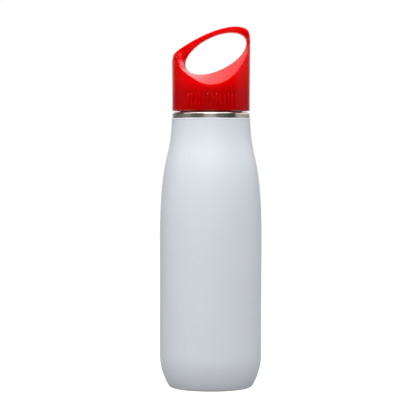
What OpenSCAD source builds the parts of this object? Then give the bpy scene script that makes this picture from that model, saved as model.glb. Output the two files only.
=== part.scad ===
// Insulated drinking bottle: a coated double-wall steel body and a screw cap with a slanting carry loop.
// The origin is the centre of the foot, on the surface that the bottle stands on.
// +Z runs up the bottle's axis. The loop's opening runs along Y, and the loop rises towards +X.

/* [Body] */
// Outside diameter of the coated body
body_d = 72; // [62:0.5:88]
// Height of the rolled shoulder under the cap
shoulder_h = 194.6; // [165:0.2:240]
// Height at which the straight wall turns into the shoulder's curve
curve_start_h = 104.5; // [60:0.5:130]
// Diameter of the bare steel ring
ring_d = 54.8; // [52:0.2:60]
// Height of the bare steel ring, up to the top of its rolled edge
ring_h = 4.2; // [3:0.1:12]
// Radius of the ring's rolled upper edge
ring_edge_r = 1.4; // [1:0.1:2]
// Radius of the curve that turns the wall in towards the foot
base_curve_r = 42; // [32:0.5:60]
// Height at which that curve starts
base_curve_h = 23.4; // [18:0.2:28]
// Radius of the foot's rounded edge
foot_edge_r = 3; // [2:0.1:4]
// Width of the flat ring that the bottle stands on
foot_w = 1.6; // [1:0.1:3]
// Depth of the recess under the bottle
foot_recess = 2.4; // [1.5:0.1:3]

/* [Walls] */
// Thickness of the white coat
coat_t = 0.25; // [0.15:0.05:0.4]
// Thickness of the outer steel wall
shell_t = 0.5; // [0.4:0.1:0.8]
// Thickness of the inner steel wall
liner_t = 0.4; // [0.3:0.1:0.7]
// Width of the vacuum gap around the body
vacuum_gap = 3.2; // [2.5:0.1:4.5]
// Width of the vacuum gap in the neck
neck_gap = 0.6; // [0.4:0.1:0.8]
// Height of the liner's floor above the outer bottom
floor_gap = 5; // [4:0.1:7]
// Radius of the corner between the liner's wall and its floor
liner_corner_r = 6; // [4:0.5:8]
// Height of the weld between the liner and its floor cup, above that floor
liner_weld_h = 8; // [7:0.5:12]

/* [Neck] */
// Inside diameter of the mouth
mouth_d = 41; // [38:0.2:42]
// Height of the neck above the rolled shoulder
neck_h = 12.4; // [11:0.1:15]
// Distance between turns of the screw thread
thread_pitch = 4; // [3.6:0.1:4.5]
// Turns of thread rolled into the neck
thread_turns = 1.5; // [1:0.05:1.6]
// Height of the thread's ridge
thread_ridge = 1.1; // [0.9:0.05:1.2]
// Clearance between the two threads
thread_clearance = 0.35; // [0.3:0.05:0.4]

/* [Cap] */
// Diameter of the cap at its lower edge
cap_d = 54.8; // [54:0.2:62]
// How much wider the cap's wall has become at the top of the loop, on the radius
cap_bow = 0.6; // [0:0.1:1]
// Gap between the cap's lower edge and the rolled shoulder
cap_gap = 1.1; // [0.6:0.1:2]
// Bevel of the cap's lower edge
cap_bevel = 0.5; // [0.2:0.1:0.8]
// Thickness of the threaded insert's wall
insert_t = 1.2; // [1:0.1:1.4]
// Thickness of the plug's wall and of its floor
plug_t = 1.5; // [1.2:0.1:2]
// How far the plug reaches into the mouth, below the lip
plug_depth = 3.5; // [2:0.1:6]
// Height of the foam above the insert
foam_rise = 4.3; // [2:0.1:5]
// Thickness of the silicone ring
seal_t = 1.8; // [1.4:0.1:2.4]
// Grip ribs on each side
rib_count = 13; // [5:2:17]
// Angle between two grip ribs
rib_step = 6.1; // [5:0.1:7]
// Width of a grip rib
rib_w = 1.3; // [1:0.1:1.6]
// Length of a grip rib
rib_l = 7.4; // [4:0.2:9]
// How far a grip rib stands out
rib_proud = 0.35; // [0.2:0.05:0.5]

/* [Carry loop] */
// Long axis of the loop's opening
loop_l = 46.8; // [38:0.2:49]
// Short axis of the loop's opening
loop_w = 23.4; // [18:0.2:25]
// Slant of the opening
loop_tilt = 27; // [22:0.5:30]
// Height of the opening's centre above the cap's insert
loop_rise = 25.8; // [25:0.1:32]
// Thickness of the strap at its outer side
strap_side_t = 3.1; // [2.5:0.1:5]
// Thickness of the strap at its top
strap_top_t = 3.9; // [3:0.1:6]
// Width of the flat inside of the strap
strap_land = 10; // [6:0.5:14]
// Long axis of the ellipse that the strap's outer side follows
arch_l = 90.6; // [80:0.2:100]
// Short axis of that ellipse
arch_w = 35.8; // [32:0.2:40]
// Slant of that ellipse
arch_tilt = 34.8; // [30:0.2:38]
// Radius of the corner where the low end of the strap meets the cap's side
corner_r = 6; // [3:0.5:9]
// Long axis of the scoop's mouth, where the loop opens out at the cap's front and back
scoop_l = 158.4; // [140:0.2:175]
// Short axis of the scoop's mouth
scoop_w = 99.8; // [90:0.2:110]
// Slant of the scoop's mouth, from upright
scoop_tilt = 14.1; // [8:0.1:20]
// How far the mouth's centre lies towards the strap's low end
scoop_shift = 15.2; // [10:0.1:20]
// Height of the mouth's centre above the opening's centre
scoop_rise = 55.5; // [50:0.1:62]

/* [Hidden] */

// Smoothness of round stretches
$fn = 96;
curve_steps = 40;
loop_steps = 96;
// Length by which a cut runs past what it cuts
past = 1;
// Shares of the shoulder's height over which its two ends keep to the vertical
tension_low = 0.72;
tension_high = 0.375;
// Clearance between pieces that are bonded or snapped together
snug = 0.1;
// Clearance around the plug and the silicone ring
plug_clearance = 0.7;
seal_clearance = 0.3;
// The coat stops this far above the surface that the bottle stands on
coat_foot_h = 0.8;

// Steel wall, from the outside in
body_r = body_d / 2;
ring_r = ring_d / 2;
ring_z = shoulder_h - ring_h;
ring_edge_z = shoulder_h - ring_edge_r;
base_x = body_r - base_curve_r;
liner_in = coat_t + shell_t + vacuum_gap;
shell_foot_r = foot_edge_r - coat_t;

// Bottom
recess_r = foot_centre(coat_t, 0, shell_foot_r)[0] - foot_w;
base_z = foot_recess + shell_t;
base_lip_z = 0.15;
dimple_r = 6;
dimple_h = 1.4;
evacuation_r = 1.4;
plug_bead_r = 3;
plug_bead_t = 0.8;
getter_r = 4;
getter_x = 14;
getter_h = 2;
getter_wall = 0.4;
getter_rim = 0.2;
floor_z = base_z + shell_t + floor_gap;
liner_weld_z = floor_z + liner_weld_h;

// Neck
mouth_r = mouth_d / 2;
liner_neck_r = mouth_r + liner_t;
neck_r = liner_neck_r + neck_gap + shell_t;
neck_fillet = 0.8;
rim_z = shoulder_h + neck_h;
lip_r = (neck_r - mouth_r) / 2;
lip_z = rim_z - lip_r;
liner_neck_drop = 2;
liner_neck_z = shoulder_h - liner_neck_drop;

// Thread: a ridge with a wide root and a narrow crest, sunk a little into the wall that carries it
thread_root_w = 2;
thread_crest_w = 0.9;
thread_sink = 0.15;
thread_fade = 40;
thread_end_share = 0.05;
ring_step = 12;
thread_rise = 3.6;
thread_z = shoulder_h + thread_rise;
insert_turn_start = 150;
insert_turns = 1.1;

// Cap
insert_recess = 0.8;
crown_step = 1.2;
seal_overhang = 0.8;
rib_lift = 4;
cap_r = cap_d / 2;
cap_z = shoulder_h + cap_gap;
insert_r = neck_r + thread_ridge + thread_clearance;
insert_out_r = insert_r + insert_t;
insert_z = cap_z + insert_recess;
insert_deck_z = rim_z + seal_t;
insert_top_z = insert_deck_z + plug_t;
plug_r = mouth_r - plug_clearance;
plug_z = rim_z - plug_depth;
foam_r = plug_r - plug_t - snug;
foam_top_r = foam_r - crown_step;
seal_in_r = plug_r + seal_clearance;
seal_out_r = neck_r + seal_overhang;
rib_z = cap_z + rib_lift;

// Carry loop
loop_z = insert_top_z + loop_rise;
loop_side_r = cap_r + cap_bow;
loop_x = loop_side_r - strap_side_t - reach(loop_l / 2, loop_w / 2, loop_tilt);
loop_top_z = loop_z + reach(loop_w / 2, loop_l / 2, loop_tilt);
arch_x = loop_side_r - reach(arch_l / 2, arch_w / 2, arch_tilt);
arch_z = loop_top_z + strap_top_t - reach(arch_w / 2, arch_l / 2, arch_tilt);
arch_side_t = -atan2(arch_w * sin(arch_tilt), arch_l * cos(arch_tilt));
cap_top_z = loop_top_z + strap_top_t;
bow_steps = 10;
// Stretch of the arch, as its ellipse's parameter, that holds the rounded corner
corner_turns = [60, 170];

// Points of an arc about [x, y], with the first steps left out when the arc continues a line
function arc(x, y, r, from, to, steps, skip = 0) =
    [for (i = [skip:steps]) let(a = from + (to - from) * i / steps) [x + r * cos(a), y + r * sin(a)]];

// Points of a cubic curve between p0 and p3 that leaves towards p1 and arrives from p2
function cubic(p0, p1, p2, p3, steps) =
    [for (i = [0:steps]) let(t = i / steps, u = 1 - t)
        u * u * u * p0 + 3 * u * u * t * p1 + 3 * u * t * t * p2 + t * t * t * p3];

// Half the width of an ellipse with half axes a and b, turned by an angle
function reach(a, b, angle) = sqrt(pow(a * cos(angle), 2) + pow(b * sin(angle), 2));

// A point at parameter t on an ellipse with half axes a and b, turned by an angle about [x, z]
function ellipse_point(x, z, a, b, angle, t) =
    [x + a * cos(t) * cos(angle) - b * sin(t) * sin(angle), z + a * cos(t) * sin(angle) + b * sin(t) * cos(angle)];

// Centre of the foot's fillet of radius f, between a floor at height z and the base curve inset by d
function foot_centre(d, z, f) =
    [base_x + sqrt(pow(base_curve_r - d - f, 2) - pow(base_curve_h - z - f, 2)), z + f];

// Side of the body, inset by d: foot fillet of radius f on a floor at height z, base curve, wall and shoulder
function body_side(d, z, f, top_r, top_z) =
    let(c = foot_centre(d, z, f), a = atan2(c[1] - base_curve_h, c[0] - base_x), span = top_z - curve_start_h)
    concat(
        arc(c[0], c[1], f, -90, a, 8),
        arc(base_x, base_curve_h, base_curve_r - d, a, 0, 20, 1),
        cubic([body_r - d, curve_start_h], [body_r - d, curve_start_h + tension_low * span],
              [top_r, top_z - tension_high * span], [top_r, top_z], curve_steps));

// The whole body, inset by d, as half of a section
module body_half(d, z, f, top_r, top_z) {
    polygon(concat([[0, z]], body_side(d, z, f, top_r, top_z), [[0, top_z]]));
}

// A part of the half section between two heights
module between(low, high) {
    translate([0, low]) square([body_d, high - low]);
}

// Outer face of the steel wall from the foot to the neck's top, as half of a section
module shell_half() {
    body_half(coat_t, 0, shell_foot_r, ring_r, ring_edge_z);
    translate([0, ring_edge_z - past]) square([ring_r - ring_edge_r, ring_edge_r + past]);
    intersection() {
        translate([ring_r - ring_edge_r, ring_edge_z]) circle(r = ring_edge_r);
        between(ring_edge_z, shoulder_h);
    }
    translate([0, shoulder_h - past]) square([neck_r, lip_z - shoulder_h + past]);
    difference() {
        translate([0, shoulder_h - past]) square([neck_r + neck_fillet, neck_fillet + past]);
        translate([neck_r + neck_fillet, shoulder_h + neck_fillet]) circle(r = neck_fillet);
    }
}

// Inner face of the steel wall, as half of a section
module shell_inside_half() {
    body_half(coat_t + shell_t, shell_t, shell_foot_r - shell_t, ring_r - shell_t, ring_edge_z);
    translate([0, ring_edge_z - past]) square([ring_r - shell_t, past]);
    translate([0, ring_edge_z - past]) square([ring_r - ring_edge_r, ring_edge_r - shell_t + past]);
    intersection() {
        translate([ring_r - ring_edge_r, ring_edge_z]) circle(r = ring_edge_r - shell_t);
        between(ring_edge_z, shoulder_h);
    }
    translate([0, shoulder_h - past]) square([neck_r - shell_t, lip_z - shoulder_h + 2 * past]);
    translate([0, -past]) square([recess_r, shell_t + 2 * past]);
}

// One end of the thread's ridge grows out of the wall and the other sinks back into it
function fade(a, turns) = max(thread_end_share, min(1, a / thread_fade, (turns * 360 - a) / thread_fade));

// Section of the ridge at an angle along it: side is 1 for a ridge that stands outwards and -1 for inwards
function ridge_section(r, side, a, turns, start, z) =
    let(h = thread_ridge * fade(a, turns), turn = start + a, mid = z + thread_pitch * turn / 360,
        corners = [[-thread_sink, -thread_root_w / 2], [h, -thread_crest_w / 2],
                   [h, thread_crest_w / 2], [-thread_sink, thread_root_w / 2]])
    [for (c = corners) [(r + side * c[0]) * cos(turn), (r + side * c[0]) * sin(turn), mid + c[1]]];

// A right-hand screw ridge on a wall of radius r
module ridge(r, side, turns, start, z) {
    steps = ceil(turns * 360 / ring_step);
    points = [for (i = [0:steps]) each ridge_section(r, side, turns * 360 * i / steps, turns, start, z)];
    sides = [for (i = [0:steps - 1], j = [0:3])
        let(a = 4 * i + j, b = 4 * i + (j + 1) % 4, c = b + 4, d = a + 4)
        each side > 0 ? [[a, b, c], [a, c, d]] : [[a, c, b], [a, d, c]]];
    last = 4 * steps;
    ends = side > 0
        ? [[0, 3, 2], [0, 2, 1], [last, last + 1, last + 2], [last, last + 2, last + 3]]
        : [[0, 1, 2], [0, 2, 3], [last, last + 2, last + 1], [last, last + 3, last + 2]];
    polyhedron(points, concat(sides, ends));
}

// Outer steel wall: foot, body, bare ring, rolled shoulder and threaded neck
module outer_shell() {
    color([0.74, 0.73, 0.71]) {
        rotate_extrude() difference() {
            shell_half();
            shell_inside_half();
        }
        ridge(neck_r, 1, thread_turns, 0, thread_z);
    }
}

// White coat over the steel wall, from the foot up to the bare ring
module body_coat() {
    color([0.90, 0.92, 0.95]) rotate_extrude() intersection() {
        difference() {
            body_half(0, 0, foot_edge_r, ring_r + coat_t, ring_edge_z);
            body_half(coat_t, 0, shell_foot_r, ring_r, ring_edge_z);
        }
        between(coat_foot_h, ring_z);
    }
}

// The liner's wall and floor together, as half of a section
module liner_half() {
    difference() {
        body_half(liner_in, floor_z, liner_corner_r, liner_neck_r, liner_neck_z);
        body_half(liner_in + liner_t, floor_z + liner_t, liner_corner_r - liner_t, mouth_r, liner_neck_z);
    }
}

// Inner steel wall with its neck and the rounded lip that is welded to the outer wall
module inner_vessel() {
    color([0.78, 0.78, 0.77]) rotate_extrude() {
        intersection() {
            liner_half();
            between(liner_weld_z, liner_neck_z);
        }
        translate([mouth_r, liner_neck_z]) square([liner_t, lip_z - liner_neck_z]);
        intersection() {
            translate([mouth_r + lip_r, lip_z]) circle(r = lip_r);
            between(lip_z, rim_z + past);
        }
    }
}

// Floor cup welded to the lower end of the inner wall
module inner_base() {
    color([0.72, 0.72, 0.71]) rotate_extrude() intersection() {
        liner_half();
        between(floor_z, liner_weld_z);
    }
}

// Bottom of the outer wall: a shallow cup welded into the foot, with a dimple around the evacuation hole
module outer_base() {
    color([0.70, 0.70, 0.69]) rotate_extrude() difference() {
        union() {
            translate([0, base_lip_z]) square([recess_r, base_z - base_lip_z + shell_t]);
            translate([0, base_z]) square([dimple_r + shell_t, dimple_h + shell_t]);
        }
        translate([-past, -past]) square([recess_r - shell_t + past, base_z + past]);
        translate([-past, -past]) square([dimple_r + past, base_z + dimple_h + past]);
        translate([-past, -past]) square([evacuation_r + past, base_z + dimple_h + shell_t + 2 * past]);
    }
}

// Solder bead that closes the evacuation hole
module vacuum_plug() {
    color([0.55, 0.56, 0.58]) {
        translate([0, 0, base_z + dimple_h - plug_bead_t]) cylinder(r = plug_bead_r, h = plug_bead_t);
        translate([0, 0, base_z + dimple_h - plug_bead_t]) cylinder(r = evacuation_r, h = plug_bead_t + shell_t);
    }
}

// Thin disc bonded into the recess under the bottle
module base_plate() {
    color([0.80, 0.80, 0.79]) translate([0, 0, foot_recess])
        cylinder(r = recess_r - shell_t - snug, h = base_z - foot_recess);
}

// Small cup on the outer bottom, inside the vacuum
module getter_cup() {
    color([0.66, 0.65, 0.62]) translate([getter_x, 0, base_z + shell_t]) difference() {
        cylinder(r = getter_r, h = getter_h);
        translate([0, 0, getter_wall]) cylinder(r = getter_r - getter_wall, h = getter_h);
    }
}

// Gas-absorbing tablet in its cup
module getter_tablet() {
    color([0.35, 0.34, 0.33]) translate([getter_x, 0, base_z + shell_t + getter_wall])
        cylinder(r = getter_r - getter_wall - snug, h = getter_h - getter_wall - getter_rim);
}

// Silicone ring that is squeezed between the lip and the cap's insert
module seal_ring() {
    color([0.86, 0.86, 0.84]) translate([0, 0, rim_z]) difference() {
        cylinder(r = seal_out_r, h = seal_t);
        translate([0, 0, -past]) cylinder(r = seal_in_r, h = seal_t + 2 * past);
    }
}

// Inner cup of the cap: threaded skirt, deck over the silicone ring and hollow plug
module cap_insert() {
    color([0.22, 0.22, 0.23]) {
        rotate_extrude() difference() {
            union() {
                translate([0, insert_z]) square([insert_out_r, insert_top_z - insert_z]);
                translate([0, plug_z]) square([plug_r, insert_top_z - plug_z]);
            }
            difference() {
                translate([-past, insert_z - past]) square([insert_r + past, insert_deck_z - insert_z + past]);
                translate([-past, plug_z]) square([plug_r + past, insert_deck_z - plug_z + past]);
            }
            translate([-past, plug_z + plug_t]) square([plug_r - plug_t + past, insert_top_z - plug_z]);
        }
        ridge(insert_r, -1, insert_turns, insert_turn_start, thread_z - thread_pitch / 2);
    }
}

// Insulating foam inside the plug and the cap's crown
module cap_foam() {
    color([0.93, 0.91, 0.84]) {
        translate([0, 0, plug_z + plug_t]) cylinder(r = foam_r, h = insert_top_z - plug_z - plug_t);
        translate([0, 0, insert_top_z - past]) cylinder(r = foam_top_r, h = foam_rise + past);
    }
}

// A point on the outside of the strap, and the direction that it faces
function arch_point(t) = ellipse_point(arch_x, arch_z, arch_l / 2, arch_w / 2, arch_tilt, t);
function arch_facing(t) = atan2(arch_l * sin(t), arch_w * cos(t)) + arch_tilt;

// Where the rounded corner takes over from the strap, found by halving the stretch that holds it
function corner_at(low, high, tries = 24) =
    let(mid = (low + high) / 2, x = arch_point(mid)[0] - corner_r * cos(arch_facing(mid)))
    tries == 0 ? mid : x > corner_r - cap_r ? corner_at(mid, high, tries - 1) : corner_at(low, mid, tries - 1);

// The cap seen along Y: straight sides, the rounded corner and the strap's slanting top
module cap_outline() {
    turn = corner_at(corner_turns[0], corner_turns[1]);
    facing = arch_facing(turn);
    x = arch_point(turn)[0] - corner_r * cos(facing);
    z = arch_point(turn)[1] - corner_r * sin(facing);
    top = [for (i = [1:loop_steps / 2]) arch_point(turn + (arch_side_t - turn) * i * 2 / loop_steps)];
    side = loop_side_r + past;
    polygon(concat(
        [[side, arch_point(arch_side_t)[1] - past], [side, cap_z - past], [-side, cap_z - past], [-side, z]],
        arc(x, z, corner_r, 180, facing, 8), top));
}

// Radius of the cap's wall at a height
function cap_wall_r(z) = cap_r + cap_bow * pow((z - cap_z) / (cap_top_z - cap_z), 2);

// The cap's round wall, a little wider at its top
module cap_envelope() {
    wall = [for (i = [1:bow_steps])
        let(z = cap_z + (cap_top_z + past - cap_z) * i / bow_steps) [cap_wall_r(z), z]];
    rotate_extrude() polygon(concat([[0, cap_z], [cap_r - cap_bevel, cap_z], [cap_r, cap_z + cap_bevel]],
        wall, [[0, cap_top_z + past]]));
}

// Ring of points around the scoop at depth y: the opening's ellipse as far as the land, then wider and wider
function scoop_ring(y) =
    let(t = max(0, abs(y) - strap_land / 2) / (cap_r - strap_land / 2),
        x = loop_x - scoop_shift * t, z = loop_z + scoop_rise * t,
        a = loop_l / 2 + (scoop_w - loop_l) / 2 * t, b = loop_w / 2 + (scoop_l - loop_w) / 2 * t,
        angle = loop_tilt + (scoop_tilt - loop_tilt) * t)
    [for (i = [0:loop_steps - 1]) let(p = ellipse_point(x, z, a, b, angle, 360 * i / loop_steps)) [p[0], y, p[1]]];

// The space that the loop's opening and its two scoops take out of the cap
module scoop() {
    far = cap_r + cap_bow + past;
    depths = [-far, -strap_land / 2, strap_land / 2, far];
    n = loop_steps;
    sides = [for (k = [0:2], i = [0:n - 1])
        let(a = k * n + i, b = k * n + (i + 1) % n, c = b + n, d = a + n) each [[a, b, c], [a, c, d]]];
    near_end = [for (i = [n - 1:-1:0]) i];
    far_end = [for (i = [0:n - 1]) 3 * n + i];
    polyhedron([for (y = depths) each scoop_ring(y)], concat(sides, [near_end, far_end]));
}

// One upright grip rib with rounded ends, at an angle round the cap
module rib(angle) {
    r = cap_wall_r(rib_z + rib_l / 2) + rib_proud - rib_w / 2;
    rotate([0, 0, angle]) translate([r, 0, rib_z + rib_w / 2]) {
        cylinder(d = rib_w, h = rib_l - rib_w, $fn = 16);
        sphere(d = rib_w, $fn = 16);
        translate([0, 0, rib_l - rib_w]) sphere(d = rib_w, $fn = 16);
    }
}

// Outer moulding of the cap: skirt, scoop, carry loop and grip ribs
module cap_shell() {
    color([0.76, 0.02, 0.04]) difference() {
        union() {
            intersection() {
                cap_envelope();
                rotate([90, 0, 0]) translate([0, 0, -2 * cap_r]) linear_extrude(4 * cap_r) cap_outline();
            }
            for (side = [-90, 90], i = [0:rib_count - 1]) rib(side + (i - (rib_count - 1) / 2) * rib_step);
        }
        scoop();
        translate([0, 0, cap_z - past]) cylinder(r = insert_out_r + snug, h = insert_top_z - cap_z + past);
        translate([0, 0, cap_z]) cylinder(r = foam_top_r + snug, h = insert_top_z + foam_rise + snug - cap_z);
    }
}

outer_shell();
body_coat();
inner_vessel();
inner_base();
outer_base();
vacuum_plug();
base_plate();
getter_cup();
getter_tablet();
seal_ring();
cap_insert();
cap_foam();
cap_shell();
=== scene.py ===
"""Finished surfaces, materials and studio of an insulated drinking bottle with a carry-loop cap.

Everything is in metres, in the frame's own axes: the bottle stands on z = 0 with its axis on Z,
and the cap's loop opens along Y and rises towards +X.
"""

import math

import bmesh
import bpy
import numpy as np
from bpy.props import FloatProperty, FloatVectorProperty, IntProperty, PointerProperty
from bpy.types import Operator, Panel, PropertyGroup
from mathutils import Matrix, Vector


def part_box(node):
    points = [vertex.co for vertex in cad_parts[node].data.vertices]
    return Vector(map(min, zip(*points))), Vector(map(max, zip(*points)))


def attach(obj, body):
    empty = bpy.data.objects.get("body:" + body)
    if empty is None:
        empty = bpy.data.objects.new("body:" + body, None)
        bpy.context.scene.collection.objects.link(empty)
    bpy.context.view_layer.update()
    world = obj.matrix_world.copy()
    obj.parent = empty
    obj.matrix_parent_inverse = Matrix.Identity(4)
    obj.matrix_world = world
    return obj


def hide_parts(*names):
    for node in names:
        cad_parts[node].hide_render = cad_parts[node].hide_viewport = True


bl_info = {
    "name": "Insulated Bottle",
    "version": (1, 0, 0),
    "blender": (4, 5, 0),
    "location": "View3D > Sidebar > Bottle",
    "description": "Builds an insulated steel bottle with a screw cap and a slanting carry loop",
    "category": "Add Mesh",
}

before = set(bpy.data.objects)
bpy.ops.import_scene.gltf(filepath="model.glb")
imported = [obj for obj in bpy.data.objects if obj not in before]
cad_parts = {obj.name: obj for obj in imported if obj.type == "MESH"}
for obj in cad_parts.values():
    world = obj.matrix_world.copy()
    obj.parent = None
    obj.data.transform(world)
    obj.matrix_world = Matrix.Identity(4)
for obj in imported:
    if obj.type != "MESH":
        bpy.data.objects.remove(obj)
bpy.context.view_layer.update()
MM = 0.001
COAT, SHELL, LINER, LINER_FLOOR, BASE = (
    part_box(node) for node in ("body_coat", "outer_shell", "inner_vessel", "inner_base", "outer_base")
)
PLATE, SEAL, INSERT, FOAM, CAP = (
    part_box(node) for node in ("base_plate", "seal_ring", "cap_insert", "cap_foam", "cap_shell")
)
# steps round the axis: coat, outer wall, other large pieces, small pieces
COAT_STEPS, WALL_STEPS, LARGE_STEPS, SMALL_STEPS = 288, 256, 192, 160


# ---- sizes and colours


def maker(**kind):
    """Makes properties of one kind from a name, a default and a description."""
    return lambda name, default, description: FloatProperty(name=name, default=default, description=description, **kind)


length = maker(min=0.0, precision=5, unit="LENGTH", subtype="DISTANCE")  # a size in metres
place = maker(precision=5, unit="LENGTH", subtype="DISTANCE")  # a place along an axis, which may be negative
share = maker(min=0.0, max=1.0, subtype="FACTOR")  # from 0 to 1
number = maker(min=0.0)  # a plain positive number


def mm(name, default, description):
    """A size, given in millimetres."""
    return length(name, default * MM, description)


def angle(name, degrees, description):
    """An angle, given in degrees."""
    return maker(unit="ROTATION", subtype="ANGLE")(name, math.radians(degrees), description)


def colour(name, default, description):
    """A scene-linear colour."""
    return FloatVectorProperty(
        name=name, description=description, default=default, size=3, min=0.0, max=1.0, subtype="COLOR"
    )


class BottleSizes(PropertyGroup):
    """Sizes of the coated steel body"""

    body_r: length("Body radius", COAT[1].x, "Radius of the coated body")
    shoulder_z: mm("Shoulder height", 194.6, "Height of the shoulder")
    curve_start_z: mm("Curve start", 104.5, "Height where the straight wall ends")
    tension_low: share("Low tension", 0.72, "Share of the shoulder's low end that stays upright")
    tension_high: share("High tension", 0.375, "Share of the shoulder's high end that stays upright")
    ring_r: mm("Ring radius", 27.4, "Radius of the bare steel ring")
    ring_edge_r: mm("Ring edge", 1.4, "Radius of the ring's upper edge")
    base_curve_r: mm("Base curve", 42, "Radius of the curve down to the foot")
    base_curve_z: mm("Base curve height", 23.4, "Height where that curve starts")
    foot_edge_r: mm("Foot edge", 3, "Radius of the foot's edge")
    foot_w: mm("Foot width", 1.6, "Width of the foot's flat ring")
    coat_t: mm("Coat", 0.25, "Thickness of the white coat")
    coat_bead: mm("Coat bead", 0.16, "Extra thickness of its upper edge")
    shell_t: mm("Outer wall", 0.5, "Thickness of the outer wall")
    liner_t: mm("Inner wall", 0.4, "Thickness of the inner wall")
    liner_corner_r: mm("Liner corner", 6, "Radius between the liner's wall and floor")
    mouth_r: mm("Mouth radius", 20.5, "Inside radius of the mouth")
    neck_r: mm("Neck radius", 22, "Radius of the neck under its thread")
    neck_fillet: mm("Neck fillet", 0.8, "Radius of the corner below the neck")
    thread_z: mm("Thread height", 198.2, "Height where the thread starts")
    thread_pitch: mm("Thread pitch", 4, "Height between turns")
    thread_h: mm("Thread depth", 1.1, "Height of the ridge")
    thread_root: mm("Thread root", 2, "Width of its foot")
    thread_crest: mm("Thread crest", 0.9, "Width of its top")
    thread_turns: number("Thread turns", 1.5, "Turns of thread on the neck")


class CapSizes(PropertyGroup):
    """Sizes of the screw cap and its carry loop"""

    wall_r: mm("Cap radius", 27.4, "Radius of the cap at its lower edge")
    bow: mm("Bow", 0.6, "Growth of that radius up to the top")
    bevel: mm("Lower edge", 0.5, "Radius of the cap's lower edge")
    edge: mm("Loop edge", 0.7, "Radius of the loop's outer edges")
    land: mm("Land", 10, "Width of the flat inside of the strap")
    land_edge: mm("Land edge", 1.1, "Reach of the rounding at the opening")
    scoop_edge: mm("Scoop edge", 0.5, "Reach of the rounding at the scoop's edge")
    opening_l: mm("Opening length", 46.8, "Long axis of the opening")
    opening_w: mm("Opening width", 23.4, "Short axis of the opening")
    opening_tilt: angle("Opening slant", 27, "Slant of the opening")
    opening_rise: mm("Opening rise", 25.8, "Height of its centre above the insert")
    strap_side_t: mm("Strap side", 3.1, "Thickness of the strap's outer side")
    arch_l: mm("Arch length", 90.6, "Long axis of the ellipse round the strap")
    arch_w: mm("Arch width", 35.8, "Short axis of that ellipse")
    arch_tilt: angle("Arch slant", 34.8, "Slant of that ellipse")
    corner_r: mm("Corner", 6, "Radius at the strap's low end")
    scoop_l: mm("Scoop length", 158.4, "Long axis of the scoop's mouth")
    scoop_w: mm("Scoop width", 99.8, "Short axis of the scoop's mouth")
    scoop_tilt: angle("Scoop slant", 14.1, "Slant of the mouth, from upright")
    scoop_shift: mm("Scoop shift", 15.2, "Shift of the mouth to the strap's low end")
    scoop_rise: mm("Scoop rise", 55.5, "Height of the mouth above the opening")
    scoop_flare: number("Scoop flare", 0.45, "Extra slope above the scoop's low end")
    flare_turn: angle("Flare place", 168, "Turn of the widest flare")
    flare_width: angle("Flare width", 15, "Turn over which it dies away")
    scoop_pinch: number("Scoop pinch", 0.12, "Missing slope at the scoop's low end")
    pinch_turn: angle("Pinch place", 213, "Turn of the tightest pinch")
    pinch_width: angle("Pinch width", 22, "Turn over which it dies away")
    rib_count: IntProperty(name="Ribs", description="Grip ribs on each side", default=13, min=1)
    rib_step: angle("Rib step", 6.1, "Angle between two grip ribs")
    rib_w: mm("Rib width", 1.3, "Width of a grip rib")
    rib_l: mm("Rib length", 7.4, "Length of a grip rib")
    rib_proud: mm("Rib height", 0.75, "How far a grip rib stands out")
    rib_lift: mm("Rib lift", 4, "Height of the ribs above the lower edge")
    insert_wall_t: mm("Insert wall", 1.2, "Thickness of the insert's wall")
    plug_t: mm("Plug wall", 1.5, "Thickness of the plug's wall and floor")
    plug_r: mm("Plug radius", 19.8, "Radius of the plug in the mouth")
    plug_depth: mm("Plug depth", 3.5, "How far the plug reaches below the lip")
    insert_start: angle("Insert thread start", 150, "Turn where its thread starts")
    insert_turns: number("Insert turns", 1.1, "Turns of its thread")
    snug: mm("Clearance", 0.1, "Gap between pieces that snap together")


class Finishes(PropertyGroup):
    """Colours of the bottle's materials"""

    coat: colour("Coat", (0.80, 0.842, 0.90), "Satin white coat")
    cap: colour("Cap", (0.79, 0.0003, 0.001), "Red moulded plastic")
    steel: colour("Steel", (0.72, 0.665, 0.61), "Bare stainless steel")
    liner: colour("Liner", (0.60, 0.59, 0.57), "Stainless steel inside the bottle")
    insert: colour("Insert", (0.035, 0.036, 0.040), "Dark grey moulded plastic")
    seal: colour("Seal", (0.66, 0.67, 0.66), "Milky silicone")
    foam: colour("Foam", (0.80, 0.74, 0.58), "Insulating foam")
    getter: colour("Getter", (0.09, 0.085, 0.08), "Pressed metal powder")
    solder: colour("Solder", (0.42, 0.43, 0.45), "Solder bead")
    floor: colour("Floor", (0.47, 0.47, 0.47), "Plain pale floor")


class Studio(PropertyGroup):
    """Camera and lights"""

    camera_distance: length("Camera distance", 1.253, "Distance from the bottle's axis")
    camera_height: length("Camera height", 0.163, "Height of the camera")
    camera_turn: angle("Camera turn", -1.6, "How far it stands to the right")
    camera_roll: angle("Camera roll", 0.1, "How far the camera is rolled")
    lens: FloatProperty(name="Lens", description="Focal length", default=153.1, subtype="DISTANCE_CAMERA")
    aim_side: place("Aim, sideways", -2 * MM, "Where the picture's centre lies")
    aim_height: mm("Aim height", 127.05, "Height of the picture's centre")
    key_light: number("Key light", 5.0, "Watts of the light above the camera")
    top_light: number("Top light", 14.4, "Watts of the large light overhead")
    left_light: number("Left light", 1.7, "Watts of the high fill light on the left")
    right_light: number("Right light", 0.7, "Watts of the high fill light on the right")
    left_side: number("Left side light", 2.2, "Watts of the low light on the left")
    right_side: number("Right side light", 3.1, "Watts of the low light on the right")
    room_front: number("Room, front", 0.0, "Strength of the surroundings in front")
    room_back: number("Room, back", 0.03, "Strength of the surroundings behind")
    backdrop: number("Backdrop", 1.0, "Strength of reflected surroundings")
    # strength of the glow painted into the floor where only glossy rays see it: a painted reflection in the steel and
    # plastic
    floor_painted_reflection: number("Floor glow", 0.5, "Strength of the reflected floor")


# ---- curves and sections


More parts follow.
